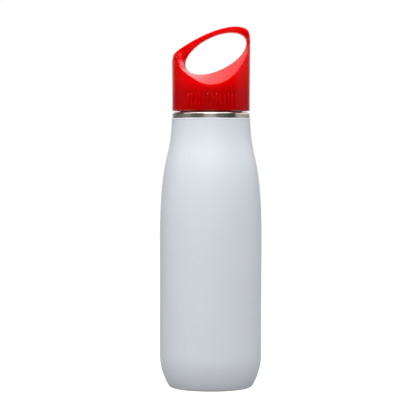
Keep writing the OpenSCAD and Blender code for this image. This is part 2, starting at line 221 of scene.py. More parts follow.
def arc(x, z, r, start, end, steps):
    """Arc about (x, z): points x + r cos a, z + r sin a, for a from start to end in degrees."""
    a = np.radians(np.linspace(start, end, steps + 1))
    return np.column_stack([x + r * np.cos(a), z + r * np.sin(a)])


def cubic(p0, p1, p2, p3, steps):
    """Cubic curve from p0 towards p1, and from p2 to p3, with weights u^3, 3 u^2 t, 3 u t^2 and t^3 for u = 1 - t."""
    t = np.linspace(0, 1, steps + 1)[:, None]
    u = 1 - t
    return u**3 * np.array(p0) + 3 * u**2 * t * np.array(p1) + 3 * u * t**2 * np.array(p2) + t**3 * np.array(p3)


def filleted(corners, steps=6):
    """Section through corners (r, z, fillet): each corner gives way to an arc that touches both of its sides, with
    its centre on the line that halves the corner, fillet / sin(half angle) from it."""
    out = [np.array([corners[0][:2]])]
    for before, here, after in zip(corners, corners[1:], corners[2:]):
        p = np.array(here[:2])
        a, b = np.array(before[:2]) - p, np.array(after[:2]) - p
        a, b = a / np.linalg.norm(a), b / np.linalg.norm(b)
        half = math.acos(max(-1.0, min(1.0, float(a @ b)))) / 2
        if here[2] <= 0 or half > math.radians(89):
            out.append(p[None])
            continue
        middle = (a + b) / np.linalg.norm(a + b)
        centre = p + middle * here[2] / math.sin(half)
        start, end = p + a * here[2] / math.tan(half) - centre, p + b * here[2] / math.tan(half) - centre
        t = np.linspace(0, 1, steps + 1)[:, None]
        chord = start * (1 - t) + end * t
        out.append(centre + here[2] * chord / np.linalg.norm(chord, axis=1)[:, None])
    out.append(np.array([corners[-1][:2]]))
    return np.vstack(out)


def refined(section, step):
    """A section with points added, so that none lie further apart than step."""
    reach = np.concatenate([[0], np.cumsum(np.hypot(*np.diff(section, axis=0).T))])
    along = np.unique(np.round(np.concatenate([reach, np.arange(0, reach[-1], step)]), 7))
    return np.column_stack([np.interp(along, reach, section[:, k]) for k in (0, 1)])


def body_side(s, inset, floor, fillet, top_r, top_z):
    """Side of the body as a section (r, z), inset from the coated surface: a fillet on the floor, the base curve,
    the straight wall, and a cubic to (top_r, top_z) that stays upright for the two tensions' shares of its height."""
    base_x = s.body_r - s.base_curve_r
    curve_r = s.base_curve_r - inset
    drop = s.base_curve_z - floor - fillet
    foot_x = base_x + math.sqrt((curve_r - fillet) ** 2 - drop**2)
    turn = math.degrees(math.atan2(-drop, foot_x - base_x))
    span = top_z - s.curve_start_z
    wall_r = s.body_r - inset
    low, high = (wall_r, s.curve_start_z + s.tension_low * span), (top_r, top_z - s.tension_high * span)
    parts = [
        arc(foot_x, floor + fillet, fillet, -90, turn, 12),
        arc(base_x, s.base_curve_z, curve_r, turn, 0, 28)[1:],
        np.column_stack([np.full(9, wall_r), np.linspace(s.base_curve_z, s.curve_start_z, 11)[1:-1]]),
        cubic((wall_r, s.curve_start_z), low, high, (top_r, top_z), 72),
    ]
    return np.vstack(parts)


def revolved(section, steps):
    """A section (r, z) turned round Z: at turn a its point is (r cos a, r sin a, z)."""
    a = np.linspace(0, 2 * np.pi, steps, endpoint=False)
    r, z = section.T
    return np.stack([np.outer(np.cos(a), r), np.outer(np.sin(a), r), np.broadcast_to(z, (steps, len(z)))], -1)


def thread(turn, z, start, z_start, turns, s):
    """Height of a right-hand screw ridge at a turn and a height on its wall.

    Its middle climbs one pitch a turn from z_start. Across it the height eases from 0 at the root's edge to its full
    depth at the crest's edge, and along it the ridge grows and dies away over a tenth of a turn at its ends.
    """
    total = np.zeros(np.broadcast(turn, z).shape)
    first = np.mod(turn - start, 2 * np.pi)
    for lap in range(math.ceil(turns) + 1):
        along = first + 2 * np.pi * lap
        middle = z_start + s.thread_pitch * (start + along) / (2 * np.pi)
        across = (s.thread_root / 2 - np.abs(z - middle)) / (s.thread_root / 2 - s.thread_crest / 2)
        across = np.clip(across, 0, 1)
        fade = np.clip(np.minimum(along, turns * 2 * np.pi - along) / (0.2 * np.pi), 0, 1)
        total = np.maximum(total, across**2 * (3 - 2 * across) * fade**2 * (3 - 2 * fade))
    return s.thread_h * total


def threaded(section, steps, on, side, start, z_start, turns, s):
    """A section turned round Z, with a thread on the points marked by on: outwards for side 1, inwards for side -1."""
    grid = revolved(section, steps)
    turn = np.linspace(0, 2 * np.pi, steps, endpoint=False)[:, None]
    ridge = thread(turn, section[None, :, 1], start, z_start, turns, s) * on
    r = np.hypot(grid[..., 0], grid[..., 1])
    grid[..., :2] *= ((r + side * ridge) / np.maximum(r, 1e-9))[..., None]
    return grid


# ---- meshes


def closed_mesh(name, patches):
    """A mesh from patches (grid of points, closed along rows, closed along columns): a quad between every two rows
    and columns, joined where points meet, with its faces turned outwards."""
    points, faces, start = [], [], 0
    for grid, closed_rows, closed_columns in patches:
        n, m = grid.shape[:2]
        closing = ((0, int(closed_rows)), (0, int(closed_columns)))
        index = np.pad(start + np.arange(n * m).reshape(n, m), closing, "wrap")
        quads = np.stack([index[:-1, :-1], index[1:, :-1], index[1:, 1:], index[:-1, 1:]], -1)
        faces.append(quads.reshape(-1, 4))
        points.append(grid.reshape(-1, 3))
        start += n * m
    mesh = bpy.data.meshes.new(name)
    mesh.from_pydata(np.vstack(points).tolist(), [], np.vstack(faces).tolist())
    work = bmesh.new()
    work.from_mesh(mesh)
    bmesh.ops.remove_doubles(work, verts=work.verts, dist=1e-6)
    bmesh.ops.recalc_face_normals(work, faces=work.faces)
    work.to_mesh(mesh)
    work.free()
    return mesh


def placed(name, data):
    """A new object at the origin, in the scene."""
    made = bpy.data.objects.new(name, data)
    bpy.context.scene.collection.objects.link(made)
    return made


def smoothed(mesh, sharp):
    """Shades a mesh smooth, but for edges sharper than an angle in degrees."""
    mesh.shade_smooth()
    mesh.set_sharp_from_angle(angle=math.radians(sharp))


def piece(name, patches, body, material, stands_for, sharp=38):
    """Makes one finished object from patches, on a body of the frame."""
    mesh = closed_mesh(name, patches)
    smoothed(mesh, sharp)
    mesh.materials.append(material)
    made = placed(name, mesh)
    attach(made, body)
    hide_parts(*stands_for)
    return made


def joined(made, patches, sharp):
    """Joins closed patches to an object's mesh, with nothing of either left inside the other."""
    tool = placed("tool", closed_mesh("tool", patches))
    union = made.modifiers.new("union", "BOOLEAN")
    union.operation, union.solver, union.object = "UNION", "EXACT", tool
    whole = bpy.data.meshes.new_from_object(made.evaluated_get(bpy.context.evaluated_depsgraph_get()))
    made.modifiers.clear()
    whole.name = made.name
    smoothed(whole, sharp)
    made.data = whole
    bpy.data.objects.remove(tool)


# ---- materials


def add(tree, kind, *values, settings=None, **named):
    """A new node with settings and values for its first sockets and named ones. A socket is linked."""
    made = tree.nodes.new("ShaderNode" + kind)
    for key, value in (settings or {}).items():
        setattr(made, key, value)
    for key, value in [*enumerate(values), *named.items()]:
        socket = made.inputs[key]
        if isinstance(value, bpy.types.NodeSocket):
            tree.links.new(value, socket)
        else:
            socket.default_value = value
    return made


def maths(tree, operation, *values):
    """Result of a math node on one to three values."""
    return add(tree, "Math", *values, settings={"operation": operation}).outputs[0]


def scaled(tree, vector, factor):
    """A vector or colour times a number."""
    return add(tree, "VectorMath", vector, Scale=factor, settings={"operation": "SCALE"}).outputs[0]


def ramp(tree, value, start, end, low, high):
    """A value that goes from low to high while another goes from start to end."""
    return add(tree, "MapRange", value, start, end, low, high).outputs[0]


def finish_group(name, size):
    """A new node group for a finish, with its inputs and outputs. Size names the input for its pattern's size."""
    tree = bpy.data.node_groups.new(name, "ShaderNodeTree")
    floats = [(title, "Float") for title in ("Colour Spread", size, "Roughness", "Roughness Spread")]
    for title, kind in [("Vector", "Vector"), ("Colour", "Color"), *floats]:
        tree.interface.new_socket(title, in_out="INPUT", socket_type="NodeSocket" + kind)
    for title, kind in (("Colour", "Color"), ("Roughness", "Float"), ("Height", "Float")):
        tree.interface.new_socket(title, in_out="OUTPUT", socket_type="NodeSocket" + kind)
    return tree, tree.nodes.new("NodeGroupInput").outputs, tree.nodes.new("NodeGroupOutput").inputs


def varied(tree, given, out, tone, gloss, height):
    """Ends a finish group: colour varies with tone and roughness with gloss, each by its spread."""
    tint = maths(tree, "MULTIPLY_ADD", tone, given["Colour Spread"], 1.0)
    rough = maths(tree, "MULTIPLY_ADD", gloss, given["Roughness Spread"], given["Roughness"])
    tree.links.new(scaled(tree, given["Colour"], tint), out["Colour"])
    tree.links.new(rough, out["Roughness"])
    tree.links.new(height, out["Height"])
    return tree


def grain_group():
    """Fine speckle of a sprayed or moulded surface, with slow patches of gloss."""
    if "Fine Grain" in bpy.data.node_groups:
        return bpy.data.node_groups["Fine Grain"]
    tree, given, out = finish_group("Fine Grain", "Size")
    scale = maths(tree, "DIVIDE", 1.0, given["Size"])
    fine = add(tree, "TexNoise", Vector=given["Vector"], Scale=scale, Detail=3.0, Roughness=0.6).outputs["Fac"]
    slow = add(tree, "TexNoise", Vector=given["Vector"], Scale=28.0, Detail=2.0, Roughness=0.5).outputs["Fac"]
    tone = maths(tree, "SUBTRACT", slow, 0.5)
    gloss = maths(tree, "SUBTRACT", maths(tree, "MULTIPLY_ADD", tone, 2.0, fine), 0.5)
    return varied(tree, given, out, tone, gloss, fine)


def brushed_group():
    """Fine lines round the axis: noise that changes fast along Z and the radius, and slowly round the piece."""
    if "Brushed Lines" in bpy.data.node_groups:
        return bpy.data.node_groups["Brushed Lines"]
    tree, given, out = finish_group("Brushed Lines", "Width")
    split = add(tree, "SeparateXYZ", given["Vector"]).outputs
    flat = add(tree, "CombineXYZ", split["X"], split["Y"]).outputs[0]
    radius = add(tree, "VectorMath", flat, settings={"operation": "LENGTH"}).outputs["Value"]
    lines = maths(tree, "DIVIDE", maths(tree, "ADD", radius, split["Z"]), given["Width"])
    around = add(tree, "SeparateXYZ", scaled(tree, flat, 60.0)).outputs
    where = add(tree, "CombineXYZ", around["X"], around["Y"], lines).outputs[0]
    noise = add(tree, "TexNoise", Vector=where, Scale=1.0, Detail=4.0, Roughness=0.65).outputs["Fac"]
    change = maths(tree, "SUBTRACT", noise, 0.5)
    return varied(tree, given, out, change, change, noise)


def material(name, group, base, size, spread, rough, rough_spread, bump, **shader):
    """A material whose colour, roughness and relief come from a node group. Bump is its strength and height."""
    if name in bpy.data.materials:
        return bpy.data.materials[name]
    made = bpy.data.materials.new(name)
    made.use_nodes = True
    tree = made.node_tree
    surface = tree.nodes["Principled BSDF"]
    for title, value in shader.items():
        surface.inputs[title.replace("_", " ")].default_value = value
    where = add(tree, "TexCoord").outputs["Object"]
    values = (where, (*base, 1), spread, size, rough, rough_spread)
    source = add(tree, "Group", *values, settings={"node_tree": group()})
    relief = add(tree, "Bump", Height=source.outputs["Height"], Strength=bump[0], Distance=bump[1])
    tree.links.new(source.outputs["Colour"], surface.inputs["Base Color"])
    tree.links.new(source.outputs["Roughness"], surface.inputs["Roughness"])
    tree.links.new(relief.outputs["Normal"], surface.inputs["Normal"])
    made.diffuse_color = (*base, 1)
    return made


def coat_material(f):
    """Satin white powder coat: fine speckle and a soft sheen."""
    grain = {"size": 0.0005, "spread": 0.02, "rough": 0.42, "rough_spread": 0.06, "bump": (0.25, 0.00002)}
    return material("satin_white_coat", grain_group, f.coat, **grain, IOR=1.5, Specular_IOR_Level=0.35)


def cap_material(f):
    """Red moulded plastic, a little translucent, with the faint grain of its mould."""
    grain = {"size": 0.0025, "spread": 0.03, "rough": 0.24, "rough_spread": 0.02, "bump": (0.02, 0.00001)}
    glow = {"Subsurface_Weight": 1.0, "Subsurface_Radius": (1.0, 0.03, 0.03), "Subsurface_Scale": 0.016}
    return material("red_moulded_plastic", grain_group, f.cap, **grain, IOR=1.48, Specular_IOR_Level=0.4, **glow)


def steel_material(name, base, rough, width, turned=0.5):
    """Stainless steel with the fine lines of brushing."""
    lines = {"size": width, "spread": 0.25, "rough": rough, "rough_spread": 0.2, "bump": (0.3, 0.00001)}
    return material(name, brushed_group, base, **lines, Metallic=1.0, Anisotropic=turned, Anisotropic_Rotation=0.25)


def plastic_material(name, base, rough, size=0.0005):
    """Moulded plastic or rubber with a fine grain."""
    grain = {"size": size, "spread": 0.08, "rough": rough, "rough_spread": 0.08, "bump": (0.35, 0.00003)}
    return material(name, grain_group, base, **grain, IOR=1.48)


def finish_node(name, made):
    """Gives a node carried over from the frame its material."""
    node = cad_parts[name]
    if not node.material_slots:
        node.data.materials.append(made)
    for slot in node.material_slots:
        slot.material = made


# ---- the bottle


class BOTTLE_OT_body_coat(Operator):
    """White coat from the foot up to the bare steel ring, with a bead along its upper edge"""

    bl_idname = "bottle.body_coat"
    bl_label = "Body coat"

    def execute(self, context):
        s, f = context.scene.bottle_sizes, context.scene.bottle_finishes
        top = s.shoulder_z - s.ring_edge_r
        bead_drop, bead_w, edge, foot = 0.65 * MM, 0.45 * MM, 0.5 * MM, 0.3 * MM
        inner = body_side(s, s.coat_t, 0, s.foot_edge_r - s.coat_t, s.ring_r, top)
        outer = body_side(s, 0, 0, s.foot_edge_r, s.ring_r + s.coat_t, top)
        low, high = COAT[0].z, COAT[1].z
        rows = inner[:, 1]
        z = [
            low + 0.4 * MM * (1 - np.cos(np.linspace(0, np.pi / 2, 10))),
            rows[(rows > low + 0.45 * MM) & (rows < high - 2.2 * MM)],
            np.linspace(high - 2.1 * MM, high - 0.6 * MM, 12),
            high - edge * (1 - np.sin(np.linspace(0, np.pi / 2, 12))),
        ]
        z = np.unique(np.round(np.concatenate(z), 7))
        steel_r = np.interp(z, inner[:, 1], inner[:, 0])
        thick = np.interp(z, outer[:, 1], outer[:, 0]) - steel_r
        # the bead swells the coat in a bell under its upper edge, and both edges close as a quarter round
        thick = thick + s.coat_bead * np.exp(-(((z - (high - bead_drop)) / bead_w) ** 2))
        upper, lower = np.clip((z - (high - edge)) / edge, 0, 1), np.clip((low + foot - z) / foot, 0, 1)
        thick = thick * np.sqrt(1 - upper**2) * np.sqrt(1 - lower**2)
        section = np.vstack([np.column_stack([steel_r + thick, z]), np.column_stack([steel_r, z])[::-1]])
        grid = revolved(section, COAT_STEPS)
        piece("body_coat_finish", [(grid, True, True)], "bottle", coat_material(f), ["body_coat"])
        return {"FINISHED"}


class BOTTLE_OT_outer_shell(Operator):
    """Outer steel wall: foot, bare ring, rolled shoulder and the neck with its thread"""

    bl_idname = "bottle.outer_shell"
    bl_label = "Outer steel wall"

    def execute(self, context):
        s, f = context.scene.bottle_sizes, context.scene.bottle_finishes
        edge_x, edge_z, top_z = s.ring_r - s.ring_edge_r, s.shoulder_z - s.ring_edge_r, SHELL[1].z
        foot_r = s.foot_edge_r - s.coat_t
        outside = body_side(s, s.coat_t, 0, foot_r, s.ring_r, edge_z)
        recess_r = outside[0, 0] - s.foot_w
        neck_start = s.shoulder_z + s.neck_fillet
        neck = np.column_stack([np.full(90, s.neck_r), np.linspace(neck_start, top_z, 91)[1:]])
        inside = body_side(s, s.coat_t + s.shell_t, s.shell_t, foot_r - s.shell_t, s.ring_r - s.shell_t, edge_z)
        in_r = s.neck_r - s.shell_t
        parts = [
            [[recess_r, 0.15 * MM], [recess_r + 0.05 * MM, 0.04 * MM], [recess_r + 0.15 * MM, 0]],
            outside,
            arc(edge_x, edge_z, s.ring_edge_r, 0, 90, 14)[1:],
            arc(s.neck_r + s.neck_fillet, neck_start, s.neck_fillet, 270, 180, 8),
            neck,
            [[in_r, top_z], [in_r, s.shoulder_z - s.shell_t]],
            arc(edge_x, edge_z, s.ring_edge_r - s.shell_t, 90, 0, 6),
            inside[::-3],
            [[recess_r, s.shell_t]],
        ]
        section = np.vstack(parts)
        on_neck = (np.abs(section[:, 0] - s.neck_r) < 1e-7) & (section[:, 1] >= neck_start)
        grid = threaded(section, WALL_STEPS, on_neck, 1, 0.0, s.thread_z, s.thread_turns, s)
        steel = steel_material("brushed_ring_steel", f.steel, 0.29, 0.00012, 0.8)
        piece("outer_shell_finish", [(grid, True, True)], "bottle", steel, ["outer_shell"])
        return {"FINISHED"}


class BOTTLE_OT_inner_vessel(Operator):
    """Inner steel wall with its shoulder, neck and rounded drinking lip"""

    bl_idname = "bottle.inner_vessel"
    bl_label = "Inner steel wall"

    def execute(self, context):
        s, f = context.scene.bottle_sizes, context.scene.bottle_finishes
        inset = s.body_r - LINER[1].x
        floor, weld, rim = LINER_FLOOR[0].z, LINER[0].z, LINER[1].z
        neck_z = s.shoulder_z - 2 * MM
        lip_r = (s.neck_r - s.mouth_r) / 2
        inner_r = s.liner_corner_r - s.liner_t
        outer = body_side(s, inset, floor, s.liner_corner_r, s.mouth_r + s.liner_t, neck_z)
        inner = body_side(s, inset + s.liner_t, floor + s.liner_t, inner_r, s.mouth_r, neck_z)
        weld_r = np.interp(weld, outer[:, 1], outer[:, 0])
        outer, inner = outer[outer[:, 1] > weld], inner[inner[:, 1] > weld]
        parts = [
            [[weld_r, weld]],
            outer,
            [[s.mouth_r + s.liner_t, rim - lip_r], [s.neck_r, rim - lip_r]],
            arc(s.mouth_r + lip_r, rim - lip_r, lip_r, 0, 180, 16)[1:],
            inner[::-1],
            [[inner[0, 0], weld]],
        ]
        section = np.vstack(parts)
        grid = revolved(section, LARGE_STEPS)
        steel = steel_material("spun_liner_steel", f.liner, 0.34, 0.00022, 0.4)
        piece("inner_vessel_finish", [(grid, True, True)], "bottle", steel, ["inner_vessel"])
        return {"FINISHED"}


class BOTTLE_OT_bottom(Operator):
    """Bottom cup and the disc bonded into the recess, with a shallow ring pressed into the disc"""

    bl_idname = "bottle.bottom"
    bl_label = "Bottom"

    def execute(self, context):
        s, f = context.scene.bottle_sizes, context.scene.bottle_finishes
        low, top, out_r = PLATE[0].z, PLATE[1].z, PLATE[1].x
        ring_r, ring_z, soft = 0.6 * out_r, low + 0.12 * MM, 0.4 * MM
        disc = [
            (0, low, 0), (ring_r, low, soft), (ring_r + 0.5 * MM, ring_z, soft),
            (ring_r + 1.3 * MM, ring_z, soft), (ring_r + 1.8 * MM, low, soft),
            (out_r, low, 0.15 * MM), (out_r, top, 0.1 * MM), (0, top, 0),
        ]
        grid = revolved(refined(filleted(disc), 1.2 * MM), SMALL_STEPS)
        steel = steel_material("spun_disc_steel", f.steel, 0.28, 0.00016, 0.6)
        piece("base_plate_finish", [(grid, True, False)], "bottle", steel, ["base_plate"])
        out_r, low, wall = BASE[1].x, BASE[0].z, s.shell_t
        in_r, mid_r, dimple_r, hole_r = out_r - wall, out_r - wall / 2, 6 * MM, 1.4 * MM
        lid = BASE[1].z
        cup = [
            (mid_r, low, 0), (out_r, low, 0.12 * MM), (out_r, top + wall, 0.3 * MM),
            (dimple_r + wall, top + wall, 0.3 * MM), (dimple_r + wall, lid, 0.4 * MM), (hole_r, lid, 0.1 * MM),
            (hole_r, lid - wall, 0.1 * MM), (dimple_r, lid - wall, 0.3 * MM), (dimple_r, top, 0.2 * MM),
            (in_r, top, 0.2 * MM), (in_r, low, 0.12 * MM), (mid_r, low, 0),
        ]
        grid = revolved(filleted(cup)[:-1], SMALL_STEPS)
        steel = steel_material("pressed_base_steel", f.steel, 0.38, 0.0003, 0.3)
        piece("outer_base_finish", [(grid, True, True)], "bottle", steel, ["outer_base"])
        return {"FINISHED"}


class BOTTLE_OT_hidden_parts(Operator):
    """Materials of the pieces inside: liner floor, solder bead, getter and foam"""

    bl_idname = "bottle.hidden_parts"
    bl_label = "Inside pieces"

    def execute(self, context):
        f = context.scene.bottle_finishes
        finish_node("inner_base", steel_material("drawn_floor_steel", f.liner, 0.40, 0.0004, 0.3))
        finish_node("getter_cup", steel_material("pressed_cup_steel", f.liner, 0.45, 0.0003, 0.2))
        finish_node("vacuum_plug", steel_material("dull_solder", f.solder, 0.5, 0.0006, 0.0))
        finish_node("getter_tablet", plastic_material("pressed_powder", f.getter, 0.85, 0.0003))
        finish_node("cap_foam", plastic_material("pale_foam", f.foam, 0.9, 0.0008))
        return {"FINISHED"}


class BOTTLE_OT_seal_ring(Operator):
    """Silicone ring with softly rounded edges"""

    bl_idname = "bottle.seal_ring"
    bl_label = "Silicone ring"

    def execute(self, context):
        low, high, out_r = SEAL[0].z, SEAL[1].z, SEAL[1].x
        in_r, soft = context.scene.cap_sizes.plug_r + 0.3 * MM, 0.6 * MM
        start = ((in_r + out_r) / 2, low, 0)
        ring = filleted([start, (out_r, low, soft), (out_r, high, soft), (in_r, high, soft), (in_r, low, soft), start])
        seal = plastic_material("milky_silicone", context.scene.bottle_finishes.seal, 0.45)
        patch = (revolved(ring[:-1], SMALL_STEPS), True, True)
        piece("seal_ring_finish", [patch], "seal", seal, ["seal_ring"])
        return {"FINISHED"}


class BOTTLE_OT_cap_insert(Operator):
    """Dark insert of the cap: threaded skirt, deck over the silicone ring and hollow plug"""

    bl_idname = "bottle.cap_insert"
    bl_label = "Cap insert"

    def execute(self, context):
        s, c = context.scene.bottle_sizes, context.scene.cap_sizes
        low, top, out_r = INSERT[0].z, INSERT[1].z, INSERT[1].x
        wall_r, plug_in_r = out_r - c.insert_wall_t, c.plug_r - c.plug_t
        deck, plug = SEAL[1].z, LINER[1].z - c.plug_depth
        corners = [
            (0, plug + c.plug_t, 0), (plug_in_r, plug + c.plug_t, 0.5 * MM), (plug_in_r, top, 0.2 * MM),
            (out_r, top, 0.4 * MM), (out_r, low, 0.3 * MM), (wall_r, low, 0.3 * MM), (wall_r, deck, 0.4 * MM),
            (c.plug_r, deck, 0.3 * MM), (c.plug_r, plug, 0.8 * MM), (0, plug, 0),
        ]
        section = refined(filleted(corners), 0.19 * MM)
        on_wall = np.abs(section[:, 0] - wall_r) < 1e-6
        start_z = s.thread_z - s.thread_pitch / 2
        grid = threaded(section, LARGE_STEPS, on_wall, -1, c.insert_start, start_z, c.insert_turns, s)
        dark = plastic_material("dark_moulded_plastic", context.scene.bottle_finishes.insert, 0.42)
        piece("cap_insert_finish", [(grid, True, False)], "cap", dark, ["cap_insert"])
        return {"FINISHED"}


class CapForm:
    """The cap's outer form and its scoop, in half-planes that turn about the line along Y through the opening's
    centre. In a half-plane, reach is the distance from that line, and y the depth along it."""

    def __init__(self, s):
        self.s = s
        self.low, self.high = CAP[0].z, CAP[1].z
        side = s.wall_r + s.bow
        self.axes = (s.opening_l / 2, s.opening_w / 2)
        self.x = side - s.strap_side_t - self.span(*self.axes, s.opening_tilt)
        self.z = INSERT[1].z + s.opening_rise
        arch = (s.arch_l / 2, s.arch_w / 2)
        self.arch_x = side - self.span(*arch, s.arch_tilt)
        self.arch_z = self.high - self.span(arch[1], arch[0], s.arch_tilt)
        self.make_outline(arch)
        self.make_scoop()

    @staticmethod
    def span(a, b, tilt):
        """Half the width of an ellipse with half axes a and b, turned by tilt."""
        return math.hypot(a * math.cos(tilt), b * math.sin(tilt))

    def make_outline(self, arch):
        """The strap's outer side seen along Y, as reach by turn: the arch ellipse, then the low corner's arc, whose
        centre lies one radius inside the ellipse and one radius in from the cap's side."""
        s = self.s
        a, b = arch
        ca, sa = math.cos(s.arch_tilt), math.sin(s.arch_tilt)
        first = -math.atan2(b * sa, a * ca)
        samples, corner_steps = 4000, 200
        t = np.linspace(first, math.radians(170), samples)
        x = self.arch_x + a * np.cos(t) * ca - b * np.sin(t) * sa
        z = self.arch_z + a * np.cos(t) * sa + b * np.sin(t) * ca
        facing = np.arctan2(a * np.sin(t), b * np.cos(t)) + s.arch_tilt
        centre_x, centre_z = x - s.corner_r * np.cos(facing), z - s.corner_r * np.sin(facing)
        last = np.flatnonzero((centre_x <= s.corner_r - s.wall_r - s.bow) & (t > math.radians(60)))[0]
        corner = arc(centre_x[last], centre_z[last], s.corner_r, math.degrees(facing[last]), 180, corner_steps)
        x = np.concatenate([x[:last], corner[:, 0]])
        z = np.concatenate([z[:last], corner[:, 1]])
        turn = np.unwrap(np.arctan2(z - self.z, x - self.x))
        self.turns, self.reaches = turn, np.hypot(x - self.x, z - self.z)

    def outline(self, turn):
        """Reach of the strap's outer side at a turn, and the share of a step along the reach that leads out of it.
        Past both ends the reach grows fast, so that only the round wall limits the cap there."""
        reach = np.interp(turn, self.turns, self.reaches)
        past = np.maximum(self.turns[0] - turn, 0) + np.maximum(turn - self.turns[-1], 0)
        step = 1e-3
        before, after = (np.interp(turn + k * step, self.turns, self.reaches) for k in (-1, 1))
        slope = (after - before) / (2 * step)
        return reach * (1 + 4 * past), reach / np.hypot(reach, slope)

    def make_scoop(self):
        """The scoop's two guiding ellipses as centre and matrix: the opening, and the ring far in front of the cap."""
        s = self.s
        self.depth = s.wall_r + s.bow + 1 * MM - s.land / 2

        def ring(t):
            a = self.axes[0] + (s.scoop_w / 2 - self.axes[0]) * t
            b = self.axes[1] + (s.scoop_l / 2 - self.axes[1]) * t
            tilt = s.opening_tilt + (s.scoop_tilt - s.opening_tilt) * t
            c, n = math.cos(tilt), math.sin(tilt)
            return np.array([-s.scoop_shift * t, s.scoop_rise * t]), np.array([[a * c, -b * n], [a * n, b * c]])

        self.near, self.far = ring(0.0), ring(self.depth / (s.wall_r - s.land / 2))

    def scoop(self, turn, y):
        """Reach of the scoop's surface at a turn and a depth: straight in every half-plane, with a slope that leads
        from the opening to the scoop's mouth, plus a flare above the opening's low end and less a pinch at that end.
        Both die away as exp(-(turn from there / width) squared)."""
        s = self.s
        near, far = self.ring_reach(turn, self.near), self.ring_reach(turn, self.far)
        flare = s.scoop_flare * np.exp(-(((turn - s.flare_turn) / s.flare_width) ** 2))
        pinch = s.scoop_pinch * np.exp(-(((turn - s.pinch_turn) / s.pinch_width) ** 2))
        return near + ((far - near) / self.depth + flare - pinch) * np.maximum(0, y - s.land / 2)

    @staticmethod
    def ring_reach(turn, ring):
        """Reach of a guiding ellipse at a turn: where |inverse(matrix) (reach * direction - centre)| = 1, which is a
        quadratic."""
        centre, matrix = ring
        back = np.linalg.inv(matrix)
        qx, qz = (row[0] * np.cos(turn) + row[1] * np.sin(turn) for row in back)
        wx, wz = back @ centre
        qq, qw, ww = qx * qx + qz * qz, qx * wx + qz * wz, wx * wx + wz * wz
        return (qw + np.sqrt(qw * qw - qq * (ww - 1))) / qq

    def wall(self, z):
        """Radius of the round wall at a height: the radius below plus the bow times the square of the share risen."""
        return self.s.wall_r + self.s.bow * ((z - self.low) / (self.high - self.low)) ** 2

    def point(self, turn, reach, y):
        """The point in the frame at a turn, reach and depth."""
        x, z = self.x + reach * np.cos(turn), self.z + reach * np.sin(turn)
        return np.stack(np.broadcast_arrays(x, y, z), -1)

    def outside(self, turn, reach, y):
        """How far a point lies outside the outer form: the larger of its distances outside the round wall and the
        outline, plus (k - their difference) squared / 4 k where they differ by less than k, twice the edge's radius."""
        x, z = self.x + reach * np.cos(turn), self.z + reach * np.sin(turn)
        limit, lean = self.outline(turn)
        wall, top = np.hypot(x, y) - self.wall(z), (reach - limit) * lean
        k = 2 * self.s.edge
        return np.maximum(wall, top) + np.maximum(k - np.abs(wall - top), 0) ** 2 / (4 * k)

    @staticmethod
    def halve(test, low, high):
        """Where a test that is false at low and true at high turns true, by halving forty times."""
        for _ in range(40):
            mid = (low + high) / 2
            past = test(mid)
            low, high = np.where(past, low, mid), np.where(past, mid, high)
        return (low + high) / 2


def eased(count, both):
    """Shares from 0 to 1 that crowd together at 0, or at both ends, as 1 - cos over a quarter or half a turn."""
    t = np.linspace(0, 1, count + 1)
    if both:
        return (1 - np.cos(np.pi * t)) / 2
    return 0.45 * t + 0.55 * (1 - np.cos(np.pi * t / 2))


def rounded(grid, row, reach):
    """Rounds the crease along one row of a grid: within reach of it along the columns, a point at distance d moves
    by (direction after - direction before) * (reach - d) squared / (4 reach), the section's running mean."""
    step = np.diff(grid, axis=1)
    size = np.linalg.norm(step, axis=-1)
    along = np.concatenate([np.zeros((len(grid), 1)), np.cumsum(size, 1)], 1)
    before = step[:, row - 1] / size[:, row - 1, None]
    after = step[:, row] / size[:, row, None]
    gap = np.maximum(reach - np.abs(along - along[:, row : row + 1]), 0)
    return grid + (after - before)[:, None] * (gap**2 / (4 * reach))[..., None]


